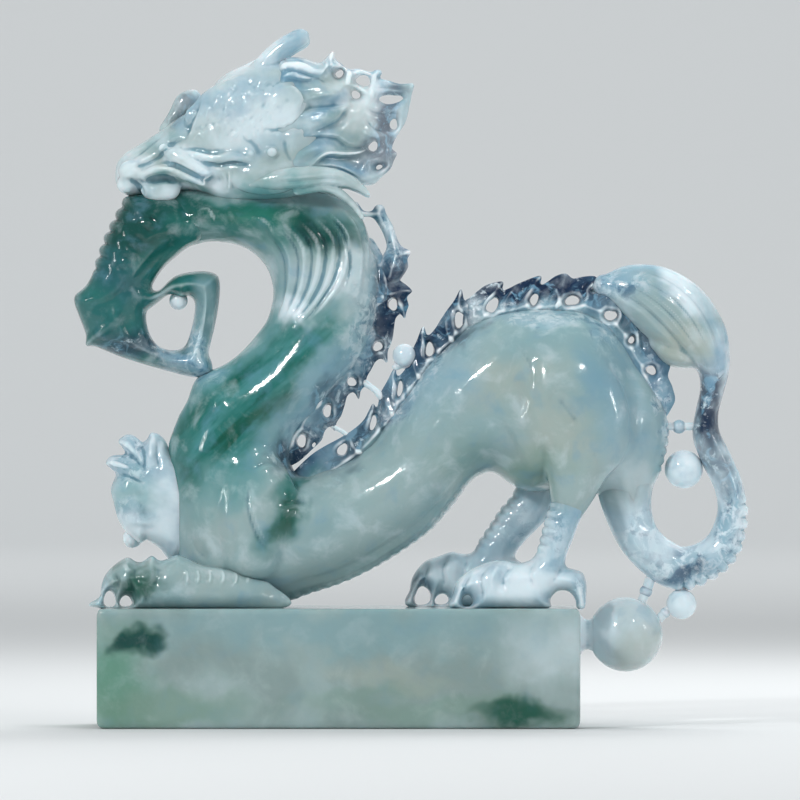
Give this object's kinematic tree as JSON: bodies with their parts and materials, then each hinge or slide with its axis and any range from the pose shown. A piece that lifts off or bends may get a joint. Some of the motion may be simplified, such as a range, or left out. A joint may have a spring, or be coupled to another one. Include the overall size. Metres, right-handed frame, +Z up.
{
  "type": "jade figurine",
  "caption": "Pierced jade dragon on a plain rectangular seal block, with a long scroll at its mouth, a looped tail and pearls.",
  "frame": {"origin": "centre of the seal block's flat underside", "axes": "+Z up, -X towards the dragon's muzzle along the block, -Y towards the side with the near foreleg"},
  "size_m": [0.1147, 0.033, 0.1203],
  "materials": {
    "block_jade": "polished, cloudy pale grey-green with green patches",
    "green_jade": "polished, deep blue-green with darker streaks",
    "white_jade": "polished, icy white with bluish depths",
    "pale_jade": "polished, milky grey-green with warm cream clouds",
    "clear_jade": "polished, glassy blue-white with dark blue flecks"
  },
  "bodies": {
    "root": {"seal_block": "block_jade", "large_pearl": "block_jade", "throat": "green_jade", "lower_jaw": "green_jade", "scroll_fall": "green_jade", "scroll_bend": "green_jade", "upper_neck": "green_jade", "lower_neck": "green_jade", "skull": "white_jade", "snout": "white_jade", "mane_core": "white_jade", "brow_crest": "white_jade", "near_horn": "white_jade", "far_horn": "white_jade", "near_ear": "white_jade", "far_ear": "white_jade", "mane_upper_locks": "white_jade", "mane_lower_locks": "white_jade", "near_jowl_lock": "white_jade", "far_jowl_lock": "white_jade", "torso": "pale_jade", "chest": "pale_jade", "near_haunch": "pale_jade", "far_haunch": "pale_jade", "near_foreleg": "pale_jade", "near_forefoot": "pale_jade", "far_foreleg": "pale_jade", "near_hind_leg": "pale_jade", "far_hind_leg": "pale_jade", "near_hind_foot": "pale_jade", "far_hind_foot": "pale_jade", "scroll_sill": "clear_jade", "scroll_rise": "clear_jade", "scroll_curl": "clear_jade", "scroll_pearl": "clear_jade", "nape_crest": "clear_jade", "nape_curl": "clear_jade", "shoulder_crest": "clear_jade", "shoulder_fins": "clear_jade", "back_fins": "clear_jade", "rump_fins": "clear_jade", "tail_root": "clear_jade", "tail_bend": "clear_jade", "tail_rise": "clear_jade", "tail_top": "clear_jade", "tail_tuft": "clear_jade", "tail_fringe": "clear_jade", "raised_paw": "clear_jade", "raised_front_claw": "clear_jade", "raised_middle_claw": "clear_jade", "raised_rear_claw": "clear_jade", "paw_pearl": "clear_jade", "loop_pearl": "clear_jade", "low_pearl": "clear_jade", "back_pearl": "clear_jade", "tail_link": "clear_jade", "pearl_link": "clear_jade", "rump_link": "clear_jade"}
  },
  "joints": []
}
